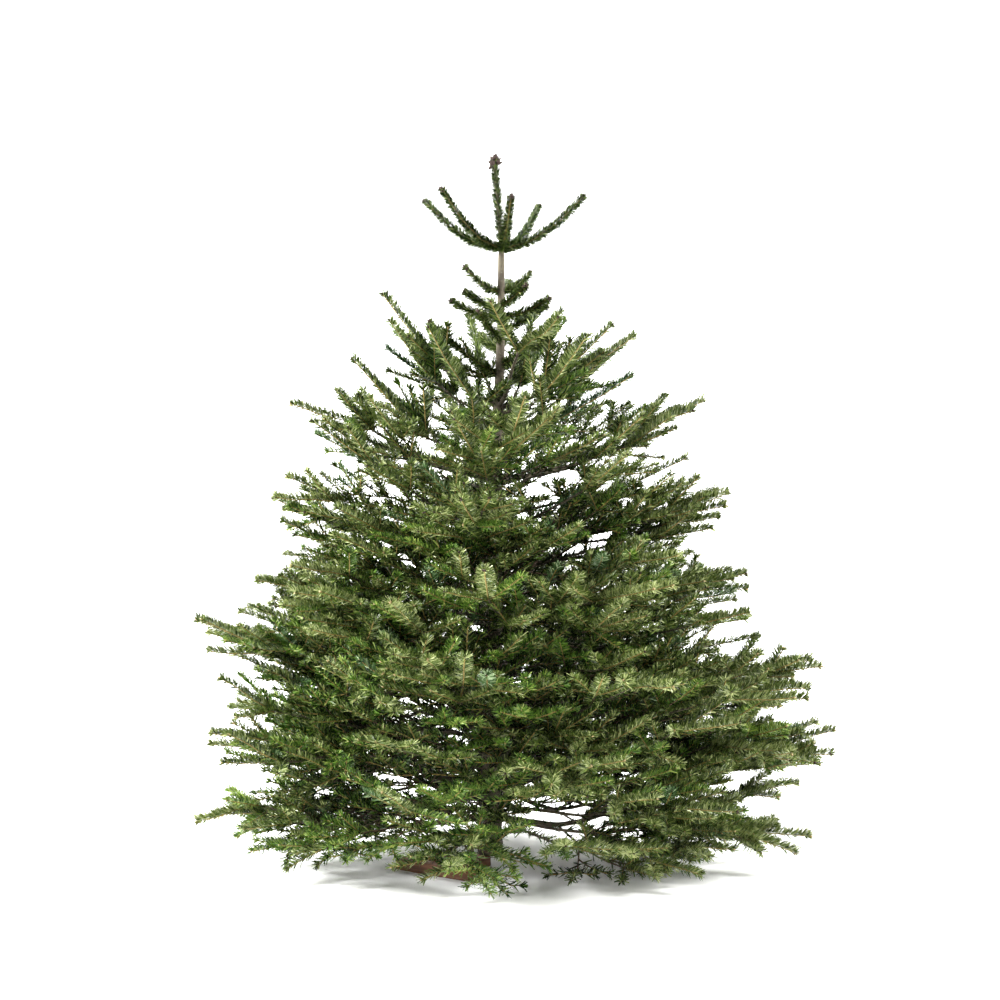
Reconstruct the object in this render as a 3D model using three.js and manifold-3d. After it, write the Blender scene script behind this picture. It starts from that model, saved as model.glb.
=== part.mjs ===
// A cut fir, sold as a Christmas tree, standing on a plain wooden cross.
// Millimetres, +Z up. The origin is the middle of the cross's flat underside; +X is the tree's right
// seen from the front, and the front faces -Y.
//
// The trunk is one tapering stem from its flat cut on the cross to the tip of the leader. Boughs leave it in
// whorls, one for each year's growth. Each bough's foliage is a flat, uneven fan that follows the bough's own
// line. Where the wood shows between trunk and foliage, the bough is a tapering limb of its own; elsewhere the
// fan starts at the trunk and is cut round it.
import * as THREE from "three";
import Module from "manifold-3d";
import { mergeVertices } from "three/addons/utils/BufferGeometryUtils.js";

const wasm = await Module();
wasm.setup();

// ---- Driving dimensions ----
const TREE_HEIGHT = 1690; // floor to the tip of the leader
const GAP = 0.3; // running gap between solids that touch

const STAND = { length: 430, width: 68, thickness: 26, turn: 4 };

// Trunk radius and sideways bow at a few heights, from the flared cut to the leader's tip.
const STEM = [
  { height: STAND.thickness + GAP, radius: 30, bow: 0 },
  { height: 110, radius: 26, bow: 2 },
  { height: 450, radius: 21.5, bow: 7 },
  { height: 1010, radius: 13.2, bow: 17 },
  { height: 1250, radius: 10, bow: 26 },
  { height: 1450, radius: 8, bow: 27 },
  { height: 1480, radius: 5, bow: 26 },
  { height: TREE_HEIGHT - 9, radius: 4.2, bow: 10.5 },
  { height: TREE_HEIGHT, radius: 2, bow: 10 },
];
const STEM_SIDES = 12;

// Last year's growth: the leader's sleeve of needles, the shoots round its foot, and the single shoots on the
// bare stem below it. Azimuths are in degrees from +X; reach is out from the stem, and rise is up to the tip.
// The shares shorten some shoots of a ring.
const SLEEVE = { from: 1486, to: TREE_HEIGHT - 7, radius: 14 };
const SHOOT_RADIUS = 14;
const YOUNG_SHOOTS = [
  {
    name: "top_shoot", height: 1466, reach: 203, rise: 132,
    azimuths: [357, 62, 158, 226, 278], shares: [1, 1, 1, 1, 0.85],
  },
  { name: "stem_shoot", height: 1362, reach: 95, rise: 68, azimuths: [20, 196], shares: [0.85, 1] },
  { name: "low_stem_shoot", height: 1302, reach: 128, rise: 48, azimuths: [338, 168], shares: [1, 1] },
];

// The whorls of boughs, from the top down. Reach is how far the foliage spreads to the right, to the left and
// to front and back; rise is how far its tip ends above the whorl on the right and on the left. A bough with a
// bare share has a limb of its own over that part of its reach, of the radius that limb gives at the trunk.
const WHORLS = [
  {
    height: 1088, azimuths: [2, 105, 181, 298],
    right: 335, left: 284, front: 290, riseRight: 180, riseLeft: 284, halfDepth: 74, bare: 0.3, limb: 6.5,
  },
  {
    height: 919, azimuths: [355, 84, 186, 278],
    right: 500, left: 495, front: 455, riseRight: 190, riseLeft: 184, halfDepth: 68, bare: 0.24, limb: 8,
  },
  {
    height: 752, azimuths: [2, 98, 177, 262],
    right: 566, left: 540, front: 520, riseRight: 138, riseLeft: 124, halfDepth: 72, bare: 0.2, limb: 9,
  },
  {
    height: 574, azimuths: [10, 88, 165, 222, 306],
    right: 632, left: 604, front: 580, riseRight: 118, riseLeft: 98, halfDepth: 68,
  },
  {
    height: 395, azimuths: [350, 52, 122, 183, 258],
    right: 787, left: 710, front: 650, riseRight: 92, riseLeft: 196, halfDepth: 70,
  },
  {
    height: 230, azimuths: [2, 76, 148, 202, 288],
    right: 830, left: 696, front: 680, riseRight: 88, riseLeft: 120, halfDepth: 62,
  },
  {
    height: 116, azimuths: [350, 94, 189, 262],
    right: 770, left: 705, front: 610, riseRight: -26, riseLeft: 6, halfDepth: 44, bare: 0.26, limb: 12,
  },
];
const LIFT_POWER = 1.45; // a bough leaves the trunk low and lifts towards its tip
const FAN_WIDEST = 0.56; // share of the reach at which a fan is widest
const FAN_SHARE = 0.38; // its half width there, as a share of the reach
const WIDEST_SECTOR = 48; // degrees to either side of a bough that its fan may fill
const MOST_OF_SECTOR = 0.93; // how much of the sector to the next bough a fan may fill
const FAN_SIDES = 10;
const FAN_RINGS = 10;
const SHOOT_SIDES = 6;
const SHOOT_RINGS = 7;
const LIMB_SIDES = 8;
const LIMB_STEPS = 5;

// ---- Materials ----
const bark = new THREE.MeshStandardMaterial({ color: 0x6b5a48, roughness: 0.9, metalness: 0 });
const needles = new THREE.MeshStandardMaterial({ color: 0x4c6331, roughness: 0.65, metalness: 0 });
const wood = new THREE.MeshStandardMaterial({ color: 0x8a4a2c, roughness: 0.75, metalness: 0 });

// ---- Helpers ----
const radians = THREE.MathUtils.degToRad;

// A repeatable number between 0 and 1 for each seed.
const chance = (seed) => THREE.MathUtils.euclideanModulo(Math.sin(seed * 127.1 + 11.7) * 43758.5453, 1);

function solidOf(geometry) {
  const bare = geometry.clone();
  bare.deleteAttribute("normal");
  bare.deleteAttribute("uv");
  const merged = mergeVertices(bare, 1e-3);
  return new wasm.Manifold(
    new wasm.Mesh({
      numProp: 3,
      vertProperties: merged.attributes.position.array,
      triVerts: new Uint32Array(merged.index.array),
    }),
  );
}

function geometryOf(solid) {
  const { vertProperties, triVerts } = solid.getMesh();
  return new THREE.BufferGeometry()
    .setAttribute("position", new THREE.BufferAttribute(vertProperties, 3))
    .setIndex(new THREE.BufferAttribute(triVerts, 1));
}

// Moves every vertex of a geometry by a function of its own place.
function reshape(geometry, place) {
  const { position } = geometry.attributes;
  const vertex = new THREE.Vector3();
  for (let i = 0; i < position.count; i += 1) {
    place(vertex.fromBufferAttribute(position, i));
    position.setXYZ(i, vertex.x, vertex.y, vertex.z);
  }
  return geometry;
}

// ---- Trunk ----
function stemAt(height, key) {
  const next = Math.max(1, STEM.findIndex((ring) => ring.height >= height));
  const [low, high] = [STEM[next - 1], STEM[next]];
  const share = (height - low.height) / (high.height - low.height);
  return THREE.MathUtils.lerp(low[key], high[key], share);
}

function stemGeometry(extra) {
  const profile = STEM.map(({ height, radius }) => new THREE.Vector2(radius + extra, height));
  const ends = [STEM[0], STEM.at(-1)].map(({ height }) => new THREE.Vector2(0, height));
  const turned = new THREE.LatheGeometry([ends[0], ...profile, ends[1]], STEM_SIDES);
  turned.rotateX(Math.PI / 2);
  return reshape(turned, (vertex) => {
    vertex.x += stemAt(THREE.MathUtils.clamp(vertex.z, STEM[0].height, TREE_HEIGHT), "bow");
  });
}

const trunkWithGap = solidOf(stemGeometry(GAP));
const clearOfTrunk = (geometry) => geometryOf(solidOf(geometry).subtract(trunkWithGap));

// ---- A bough's line: from the trunk's axis out to the foliage's tip ----
function boughLine(height, azimuth, reach, rise) {
  const out = new THREE.Vector3(Math.cos(radians(azimuth)), Math.sin(radians(azimuth)), 0);
  const side = new THREE.Vector3(-out.y, out.x, 0);
  const root = new THREE.Vector3(stemAt(height, "bow"), 0, height);
  const at = (share) =>
    root
      .clone()
      .addScaledVector(out, reach * share)
      .add(new THREE.Vector3(0, 0, rise * share ** LIFT_POWER));
  return { out, side, reach, at };
}

// The crown's plan at a whorl is an oval with half axes of its own to the right and to the left.
function reachOf(whorl, azimuth) {
  const [x, y] = [Math.cos(radians(azimuth)), Math.sin(radians(azimuth))];
  return 1 / Math.hypot(x / (x > 0 ? whorl.right : whorl.left), y / whorl.front);
}

function riseOf(whorl, azimuth) {
  const [middle, lean] = [whorl.riseRight + whorl.riseLeft, whorl.riseRight - whorl.riseLeft];
  return (middle + lean * Math.cos(radians(azimuth))) / 2;
}

// ---- Foliage ----
// A closed, uneven body along a bough's line: a sphere whose poles go to the two ends, and whose rings take
// the half width and half depth that the two functions give at their share of the length.
function bodyAlong(line, from, sides, rings, halfWidth, halfDepth) {
  const ball = new THREE.SphereGeometry(1, sides, rings);
  return reshape(ball, (vertex) => {
    const share = (1 - vertex.y) / 2;
    const ring = Math.hypot(vertex.x, vertex.z);
    const across = ring > 1e-6 ? vertex.x / ring : 0;
    const up = ring > 1e-6 ? vertex.z / ring : 0;
    const along = THREE.MathUtils.lerp(from, 1, share);
    const place = line.at(along);
    place.addScaledVector(line.side, across * halfWidth(along, across, share));
    place.z += up * halfDepth(along, up, share);
    vertex.copy(place);
  });
}

// Half the angle from a bough to its neighbour on each side in the same whorl.
function sectorsOf(azimuths, index) {
  const turn = (from, to) => THREE.MathUtils.euclideanModulo(to - from, 360) || 360;
  return {
    left: turn(azimuths[index], azimuths[(index + 1) % azimuths.length]) / 2,
    right: turn(azimuths.at(index - 1), azimuths[index]) / 2,
  };
}

// Half of the room that a whorl leaves a body at this distance from the trunk, on the side asked for.
function roomFor(sectors, across, distance) {
  const sector = Math.min(across > 0 ? sectors.left : sectors.right, WIDEST_SECTOR);
  return distance * Math.tan(radians(sector)) * MOST_OF_SECTOR;
}

// A fan of foliage is kite-shaped seen from above, and its edge is broken by the side shoots.
function fanGeometry(whorl, level, index) {
  const azimuth = whorl.azimuths[index];
  const line = boughLine(whorl.height, azimuth, reachOf(whorl, azimuth), riseOf(whorl, azimuth));
  const sectors = sectorsOf(whorl.azimuths, index);
  const seed = level * 37 + index * 5;
  const uneven = (share, side) => 0.86 + 0.28 * chance(seed + Math.round(share * 100) * 1.7 + side);
  const kite = (along) => (along < FAN_WIDEST ? along / FAN_WIDEST : (1 - along) / (1 - FAN_WIDEST)) ** 0.8;
  const halfWidth = (along, across, share) => {
    const wanted = line.reach * FAN_SHARE * kite(along) * uneven(share, Math.sign(across));
    return Math.min(wanted, roomFor(sectors, across, line.reach * along));
  };
  const halfDepth = (along, up, share) => {
    const lens = Math.sqrt(4 * share * (1 - share)) * (1.05 - 0.35 * along);
    return whorl.halfDepth * lens * uneven(share, 3 + Math.sign(up));
  };
  return bodyAlong(line, whorl.bare ?? 0, FAN_SIDES, FAN_RINGS, halfWidth, halfDepth);
}

// A single year's shoot is round, and narrows at its foot where it meets its neighbours.
function shootGeometry(azimuths, index, height, reach, rise) {
  const line = boughLine(height, azimuths[index], reach, rise);
  const sectors = sectorsOf(azimuths, index);
  const radius = (share) => SHOOT_RADIUS * (4 * share * (1 - share)) ** 0.25 * (1.1 - 0.25 * share);
  const halfWidth = (along, across, share) => Math.min(radius(share), roomFor(sectors, across, reach * along));
  return bodyAlong(line, 0, SHOOT_SIDES, SHOOT_RINGS, halfWidth, (along, up, share) => radius(share));
}

// The leader's needles lie close round the stem's own top.
function sleeveGeometry() {
  const length = SLEEVE.to - SLEEVE.from;
  const sleeve = new THREE.CylinderGeometry(SLEEVE.radius * 0.85, SLEEVE.radius, length, STEM_SIDES, 4);
  sleeve.rotateX(Math.PI / 2).translate(0, 0, SLEEVE.from + length / 2);
  return reshape(sleeve, (vertex) => {
    vertex.x += stemAt(vertex.z, "bow");
  });
}

// ---- Limbs: the bare stretch of a bough, from the trunk to its foliage ----
function limbGeometry(whorl, azimuth) {
  const line = boughLine(whorl.height, azimuth, reachOf(whorl, azimuth), riseOf(whorl, azimuth));
  const end = whorl.bare - GAP / line.reach;
  const taper = new THREE.CylinderGeometry(whorl.limb * 0.7, whorl.limb, 1, LIMB_SIDES, LIMB_STEPS);
  return reshape(taper, (vertex) => {
    const place = line.at(end * (vertex.y + 0.5)).addScaledVector(line.side, -vertex.x);
    place.z += vertex.z;
    vertex.copy(place);
  });
}

// ---- Stand: two boards lapped into a cross ----
function standGeometry() {
  const board = new THREE.BoxGeometry(STAND.length, STAND.width, STAND.thickness);
  board.translate(0, 0, STAND.thickness / 2);
  const crossing = board.clone().rotateZ(Math.PI / 2);
  const cross = solidOf(board).add(solidOf(crossing));
  return geometryOf(cross).rotateZ(radians(STAND.turn));
}

// ---- Assembly ----
const tree = new THREE.Group();
function add(name, geometry, material) {
  const mesh = new THREE.Mesh(geometry, material);
  mesh.name = name;
  tree.add(mesh);
}

add("stand", standGeometry(), wood);
add("trunk", stemGeometry(0), bark);
add("leader_foliage", clearOfTrunk(sleeveGeometry()), needles);

for (const { name, height, azimuths, reach, rise, shares } of YOUNG_SHOOTS) {
  shares.forEach((share, index) => {
    const shoot = shootGeometry(azimuths, index, height, reach * share, rise * share);
    add(`${name}_${index + 1}`, clearOfTrunk(shoot), needles);
  });
}

WHORLS.forEach((whorl, level) => {
  whorl.azimuths.forEach((azimuth, index) => {
    const label = `${level + 1}_${index + 1}`;
    const fan = fanGeometry(whorl, level, index);
    if (whorl.bare) {
      add(`bough_${label}`, clearOfTrunk(limbGeometry(whorl, azimuth)), bark);
      add(`foliage_${label}`, fan, needles);
    } else {
      add(`foliage_${label}`, clearOfTrunk(fan), needles);
    }
  });
});

export default tree;
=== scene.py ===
"""A cut fir on a wooden cross: bark, twigs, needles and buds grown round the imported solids.

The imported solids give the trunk's line, each bough's foot and tip, and the single shoots. A seeded rule of
growth, one season at a time, puts side shoots on every bough, and everything else follows from those shoots:
tubes of bark and twig, needles combed to both sides, and buds at the tips.
"""

import math
from dataclasses import dataclass
from itertools import accumulate, repeat

import bpy
import numpy as np
from bpy.props import FloatProperty, FloatVectorProperty, IntProperty, PointerProperty
from bpy.types import Operator, Panel, PropertyGroup
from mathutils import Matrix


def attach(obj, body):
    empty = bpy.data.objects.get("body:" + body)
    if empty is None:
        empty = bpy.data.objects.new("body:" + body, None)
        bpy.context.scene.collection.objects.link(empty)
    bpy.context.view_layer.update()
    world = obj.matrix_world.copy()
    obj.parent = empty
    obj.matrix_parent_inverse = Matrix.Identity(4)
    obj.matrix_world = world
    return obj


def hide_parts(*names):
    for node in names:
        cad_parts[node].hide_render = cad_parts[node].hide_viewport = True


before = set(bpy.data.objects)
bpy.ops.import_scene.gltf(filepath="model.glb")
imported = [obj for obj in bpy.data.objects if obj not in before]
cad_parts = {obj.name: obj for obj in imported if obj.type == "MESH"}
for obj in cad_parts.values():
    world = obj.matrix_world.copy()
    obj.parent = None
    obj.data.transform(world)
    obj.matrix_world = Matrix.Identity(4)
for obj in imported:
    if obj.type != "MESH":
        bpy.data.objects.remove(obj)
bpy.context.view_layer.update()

bl_info = {
    "name": "Cut Fir on a Wooden Cross",
    "version": (1, 0, 0),
    "blender": (4, 5, 0),
    "location": "View3D > Sidebar > Fir",
    "description": "Grows bark, twigs, needles and buds round a fir's packed solids",
    "category": "Object",
}

UP = np.array([0.0, 0.0, 1.0])
NEARLY_UP = UP + np.array([0.01, 0.02, 0])  # never quite along an upright shoot
FLOOR_CLEARANCE = 0.022  # no shoot runs lower than this
NEEDLE_CLEARANCE = 0.003  # and no needle ends lower than this
NODES_PER_SHOOT = 4  # points along one season's growth
BOUGH_BEND = 0.016  # how far a bough strays from its line between seasons
BUD_ROOM = 0.010  # left free at a bough's tip for its buds and last needles
FORK_TURN = 0.27  # radians from a bough's line to the outer corners of its foliage
UNDER_DROP = 0.09  # how far the second bough of a mass ends under the first, beside its reach
UNDER_LIFT = 1.3  # the lift of that second bough's line
TIP_TURN = 0.12  # radians from a bough's line to the ends of the forks beside its tip
CARRIED = ("turn", "size", "tint", "fine", "girth", "years")  # attributes that only Geometry Nodes need
NEXT_TURN = 2.39996  # radians from one bough to the next, so that no two stand in line
DENSE_TIERS = range(3, 7)  # whorls whose foliage hides the trunk
ARCHED = 1.9  # the lift of lines that rise or sag late
LEADER_BUDS = 0.018  # room for the buds on top of the leader
HIGH_UP = 1.0  # above this height a bough has further side shoots
HIGH_SHORTEST = 0.09  # no side shoot of a top bough is shorter
HIGH_SIDE_TURNS = (-2.1, -0.8, 0.8)  # radians from straight up to a high bough's further side shoots
FORK_LIFT = 1.2  # the lift of a fork's line
OUTER_DEPTH = 0.1  # how deep in the crown the last season's shoots still show
SINGLE_CROWDING = 4.6  # needles of the single shoots near the top, beside a bough's
NEEDLE_TWIST = math.radians(65)  # from a needle's foot to its tip
TIER_PIECES = {4: 2, 5: 2, 6: 3, 7: 2}  # pieces that a large tier's needles are joined into
BLISTERS = 420  # on the trunk's bark
BOUGH_SIDES = 7  # of a bough's tube of bark
BOUGH_STEP = 0.012  # from one ring of that tube to the next
THIN_BOUGH = 0.6  # girth of the further boughs, beside the whorls' own
CLUSTERS = {"leader": 18, "single": 8, "bough": 3, "outer": 2, "deep": 1}  # buds at a shoot's tip
LEADER_BUD, SINGLE_BUD, SMALL_BUD = (0.021, 0.026), (0.011, 0.014), (0.005, 0.0075)  # length, from and to
PLANK_EASE = 0.0022  # how far a plank's edges are eased
NAIL_RADII = np.array([0.0038, 0.0037, 0.0022])  # of a nail head, from below
NAIL_LIFTS = np.array([-0.0005, 0.0004, 0.0009])  # of those radii above the plank
NAIL_OUT = 0.05  # from the trunk's middle to its nails
TASKS = ("growth", "trunk", "boughs", "tints", "needles", "buds", "cross")  # each draws its own numbers

# Two kinds of comb take turns along a shoot: radians from straight up, and the lengths that go with them.
TEETH = np.radians([[-100, -55, 8, 55, 100], [-78, -30, 150, 30, 78]])
TOOTH_LENGTHS = np.array([[0.97, 0.9, 0.74, 0.9, 0.97], [0.97, 0.82, 0.78, 0.82, 0.97]])
COMB = TEETH.shape[1]  # needles that leave a shoot together


def srgb(red, green, blue):
    """A colour given as three numbers up to 255, as the linear values that materials take."""
    share = np.array([red, green, blue]) / 255
    return tuple(np.where(share <= 0.04045, share / 12.92, ((share + 0.055) / 1.055) ** 2.4))


def colour(name, description, *rgb):
    return FloatVectorProperty(
        name=name, description=description, subtype="COLOR", size=3, min=0, max=1, default=srgb(*rgb)
    )


# ---------------------------------------------------------------- settings


def distance(name, description, default):
    return FloatProperty(name=name, description=description, subtype="DISTANCE", default=default)


def fraction(name, description, default):
    return FloatProperty(name=name, description=description, subtype="FACTOR", default=default)


def power(name, description, default):
    return FloatProperty(name=name, description=description, subtype="POWER", default=default)


def ratio(name, description, default):
    return FloatProperty(name=name, description=description, default=default)


def whole(name, description, default):
    return IntProperty(name=name, description=description, default=default)


class GrowthSettings(PropertyGroup):
    seed: whole("Seed", "Fixes every random choice of the growth", 11)
    season: distance("Season", "A low bough's growth in one season", 0.142)
    high_season: distance("High season", "A top bough's growth in one season", 0.190)
    side_angle: FloatProperty(
        name="Side angle",
        description="Turn from a bough to its side shoots",
        subtype="ANGLE",
        default=math.radians(44),
    )
    side_share: ratio("Side share", "A side shoot's length beside its parent's in the same season", 0.84)
    shortest: distance("Shortest shoot", "A side shoot that would be shorter isn't grown", 0.046)
    lift: ratio("Lift", "How far side shoots turn up", 0.05)
    orders: whole("Orders", "Orders of side shoots on a bough", 3)
    kept: fraction("Kept", "Share of the side shoots that live", 0.95)
    topping: fraction("Topping", "Share of the nodes with a third shoot on top", 0.5)
    midway: fraction("Midway", "Share of the seasons with a short shoot between nodes", 0.45)
    light_depth: distance("Light depth", "How deep in the crown shoots still thrive", 0.34)
    between: whole("Between", "Boughs between whorls, for each square metre of reach by height", 190)
    sagging: whole("Sagging", "Boughs that sag under the lowest whorl", 12)
    on_stem: whole("On the stem", "Single shoots on the bare stem near the top", 9)


class NeedleSettings(PropertyGroup):
    length: distance("Length", "The longest needles", 0.025)
    top_length: distance("Top length", "Needles of the leader and the ring", 0.0175)
    width: distance("Width", "Across a needle", 0.0029)
    spacing: distance("Spacing", "Along a shoot, from one comb of needles to the next", 0.0050)
    at_tip: whole("At the tip", "Needles that close round each winter bud", 14)
    # Each family's light, middle and dark shades carry the needles' own tone by age and also painted shade,
    # deep in the crown and high up.
    vivid_light: colour("Vivid, light", "Full green sprays, their lightest needles", 142, 161, 78)
    vivid: colour("Vivid", "Full green sprays", 77, 107, 34)
    vivid_dark: colour("Vivid, dark", "Full green sprays, their darkest needles", 29, 53, 10)
    olive_light: colour("Olive, light", "Olive sprays, their lightest needles", 154, 163, 106)
    olive: colour("Olive", "Olive sprays", 79, 96, 38)
    olive_dark: colour("Olive, dark", "Olive sprays, their darkest needles", 32, 48, 11)
    silver_light: colour("Silver, light", "Sprays with a pale bloom, their lightest needles", 148, 168, 126)
    silver: colour("Silver", "Sprays with a pale bloom", 70, 98, 54)
    silver_dark: colour("Silver, dark", "Sprays with a pale bloom, their darkest needles", 29, 51, 23)
    # The darkest needles: old ones by their own colour, and, as painted shade, those deep in the crown.
    old: colour("Old", "Needles deep in the crown", 17, 26, 6)


class WoodSettings(PropertyGroup):
    twig_radius: distance("Twig radius", "Of a young shoot", 0.0016)
    yearly_gain: distance("Yearly gain", "Added to a twig's radius each year", 0.00045)
    bark: colour("Bark", "The stem's bark", 90, 83, 66)
    bark_dark: colour("Bark, dark", "In the bark's cracks and scars", 58, 49, 40)
    bark_pale: colour("Bark, pale", "Blisters and bloom on the bark", 122, 117, 98)
    young_twig: colour("Young twig", "The last season's twig", 136, 118, 66)
    old_twig: colour("Old twig", "Older twigs", 82, 66, 48)
    bud: colour("Bud", "Pale winter buds", 150, 132, 88)
    # Brown buds: their own brown, and high up also painted shade of tips seen against the light.
    dark_bud: colour("Dark bud", "Brown winter buds", 44, 28, 18)


class StandSettings(PropertyGroup):
    plank: colour("Plank", "The cross's stained wood", 118, 78, 54)
    plank_dark: colour("Plank, dark", "Its grain", 74, 46, 31)
    nail: colour("Nail", "Nail heads", 120, 118, 112)


class StudioSettings(PropertyGroup):
    distance: distance("Distance", "Camera to trunk", 5.0)
    height: distance("Height", "Camera above the floor", 0.95)
    aim_height: distance("Aim height", "Height that the camera looks at", 0.87)
    aim_right: distance("Aim right", "How far right of the trunk's foot the camera looks", 0.024)
    view_width: distance("View width", "Seen across at the trunk", 2.38)
    key: power("Key", "The large lamp on the left", 1430)
    fill: power("Fill", "The lamp opposite", 770)
    front: power("Front", "The lamp above the camera", 90)
    backdrop: power("Backdrop", "Each lamp that lights the backdrop", 260)
    sky: ratio("Sky", "Light from all round", 0.2)


# ---------------------------------------------------------------- node trees


class Value:
    """A socket of a node tree. Sums on it add Math nodes."""

    def __init__(self, graph, socket):
        self.graph, self.socket = graph, socket

    def math(self, operation, *others):
        return self.graph.node("ShaderNodeMath", {"operation": operation}, [self, *others])

    def __add__(self, other):
        return self.math("ADD", other)

    def __mul__(self, other):
        return self.math("MULTIPLY", other)

    def __sub__(self, other):
        return self.math("SUBTRACT", other)

    def __rsub__(self, other):
        return self.graph.node("ShaderNodeMath", {"operation": "SUBTRACT"}, [other, self])

    __radd__ = __add__

    def equals(self, other):
        return self.math("COMPARE", other, 0.5)

    def between(self, low, high):
        """0 at low, 1 at high, and smooth in between."""
        ends = {"Value": self, "From Min": low, "From Max": high}
        return self.graph.node("ShaderNodeMapRange", {"interpolation_type": "SMOOTHSTEP"}, ends)


class Graph:
    """A node tree as it is wired."""

    def __init__(self, tree):
        self.tree = tree
        tree.nodes.clear()

    def node(self, kind, settings=None, inputs=None, out=0):
        """Adds a node: its settings first, then its sockets' values or links. Gives one enabled output."""
        made = self.tree.nodes.new(kind)
        for key, value in (settings or {}).items():
            setattr(made, key, value)
        pairs = inputs.items() if isinstance(inputs, dict) else enumerate(inputs or [])
        for key, value in pairs:
            socket = made.inputs[key] if isinstance(key, int) else self.named(made.inputs, key)
            if isinstance(value, Value):
                self.tree.links.new(value.socket, socket)
            elif value is not None:
                socket.default_value = value
        if isinstance(out, str):
            return Value(self, self.named(made.outputs, out))
        shown = [socket for socket in made.outputs if socket.enabled]
        return Value(self, shown[out]) if shown else None

    @staticmethod
    def named(sockets, name):
        """The enabled socket of that name: a node that takes several types has one for each."""
        found = [socket for socket in sockets if socket.name == name and socket.enabled]
        if not found:
            raise KeyError(f"no socket {name!r} among {[socket.name for socket in sockets]}")
        return found[0]

    def mix(self, share, first, second):
        """Colours blended by share."""
        sockets = {"Factor": share, "A": rgba(first), "B": rgba(second)}
        return self.node("ShaderNodeMix", {"data_type": "RGBA"}, sockets, "Result")

    def noise(self, place, scale, detail=3.0, roughness=0.55):
        sockets = {"Vector": place, "Scale": scale, "Detail": detail, "Roughness": roughness}
        return self.node("ShaderNodeTexNoise", {}, sockets)


def rgba(value):
    return value if isinstance(value, Value) else (*value, 1.0)


def shader(name, finish):
    """A material whose Principled BSDF takes the sockets that finish(graph) gives."""
    material = bpy.data.materials.new(name)
    material.use_nodes = True
    graph = Graph(material.node_tree)
    surface = graph.node("ShaderNodeBsdfPrincipled", {}, finish(graph))
    graph.node("ShaderNodeOutputMaterial", {}, {"Surface": surface})
    return material


def geometry_tree(name, inputs):
    """A Geometry Nodes tree with a Geometry input and named inputs. Gives its graph and their sockets."""
    tree = bpy.data.node_groups.new(name, "GeometryNodeTree")
    tree.interface.new_socket("Geometry", in_out="INPUT", socket_type="NodeSocketGeometry")
    for label, kind, value in inputs:
        made = tree.interface.new_socket(label, in_out="INPUT", socket_type=kind)
        if value is not None:
            made.default_value = value
    tree.interface.new_socket("Geometry", in_out="OUTPUT", socket_type="NodeSocketGeometry")
    graph = Graph(tree)
    entry = tree.nodes.new("NodeGroupInput")
    sockets = {socket.name: Value(graph, socket) for socket in entry.outputs if socket.name}
    return graph, sockets


def attribute(graph, name, kind):
    return graph.node("GeometryNodeInputNamedAttribute", {"data_type": kind}, {"Name": name}, "Attribute")


def close_tree(graph, geometry, materials, chooser):
    """Ends a tree: instances are realized, and each face takes the material that its chooser numbers."""
    geometry = graph.node("GeometryNodeRealizeInstances", {}, {"Geometry": geometry})
    number = attribute(graph, chooser, "INT")
    for index, material in enumerate(materials):
        geometry = graph.node(
            "GeometryNodeSetMaterial",
            {},
            {"Geometry": geometry, "Selection": number.equals(index), "Material": material},
        )
    graph.node("NodeGroupOutput", {}, {"Geometry": geometry})


def grown_mesh(name, source, tree, values):
    """Runs a Geometry Nodes tree on a source object and gives the plain mesh that it makes."""
    modifier = source.modifiers.new(name, "NODES")
    modifier.node_group = tree
    for item in tree.interface.items_tree:
        if item.in_out == "INPUT" and item.name in values:
            modifier[item.identifier] = values[item.name]
    bpy.context.view_layer.update()
    evaluated = source.evaluated_get(bpy.context.evaluated_depsgraph_get())
    mesh = bpy.data.meshes.new_from_object(evaluated)
    mesh.name = name
    for spare in [item.name for item in mesh.attributes if not item.is_internal and not item.is_required]:
        if spare in CARRIED:
            mesh.attributes.remove(mesh.attributes[spare])
    for index in reversed(range(len(mesh.materials))):
        if mesh.materials[index] is None:
            mesh.materials.pop(index=index)
    bpy.data.objects.remove(source)
    return mesh


# ---------------------------------------------------------------- meshes


def unit(vectors):
    return vectors / np.maximum(np.linalg.norm(vectors, axis=-1, keepdims=True), 1e-9)


def add_object(name, mesh):
    made = bpy.data.objects.new(name, mesh)
    bpy.context.scene.collection.objects.link(made)
    return made


def loose_mesh(name, points, edges=(), **attributes):
    """An object of points, and edges between them, that carries attributes for Geometry Nodes."""
    mesh = bpy.data.meshes.new(name)
    mesh.from_pydata(points.tolist(), [list(edge) for edge in edges], [])
    kinds = {
        "q": ("QUATERNION", "value"),
        "v": ("FLOAT_VECTOR", "vector"),
        "f": ("FLOAT", "value"),
        "i": ("INT", "value"),
    }
    for label, (kind, values) in attributes.items():
        domain, field = kinds[kind]
        mesh.attributes.new(label, domain, "POINT").data.foreach_set(
            field, np.ascontiguousarray(values, np.int32 if kind == "i" else np.float32).ravel()
        )
    return add_object(name, mesh)


def finish_piece(piece, slot, *nodes):
    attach(piece, "root")
    if nodes:
        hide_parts(*nodes)


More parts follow.
